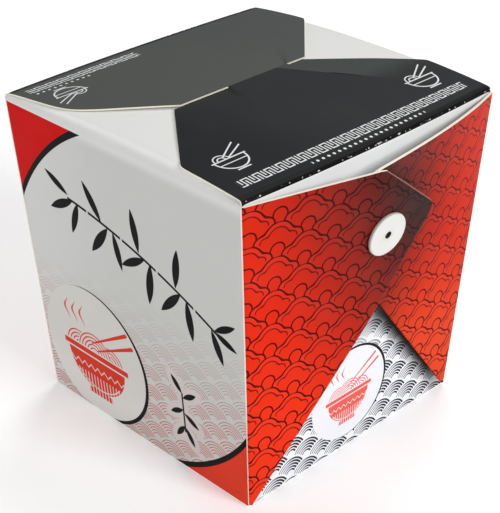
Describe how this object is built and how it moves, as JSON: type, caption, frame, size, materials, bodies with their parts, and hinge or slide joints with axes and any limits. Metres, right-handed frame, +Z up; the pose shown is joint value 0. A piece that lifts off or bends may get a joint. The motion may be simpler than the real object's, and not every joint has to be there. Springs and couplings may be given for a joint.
{
  "type": "noodle takeaway box",
  "caption": "Shut paperboard noodle box with a square foot, flaring sides, folded side wings pinned by a round button, and an interlocked flap lid.",
  "frame": {"origin": "centre of the square base, on the plane it stands on", "axes": "+Z up, +X out of the gusset side whose wings are pinned by button_right, -Y out of a plain side"},
  "size_m": [0.1084, 0.098, 0.102],
  "materials": {
    "printed_board": "coated paperboard, satin print in red, white and black, cream cut edges",
    "button": "satin white plastic"
  },
  "bodies": {
    "root": {"carton": "printed_board", "button_right": "button", "button_left": "button"}
  },
  "joints": []
}
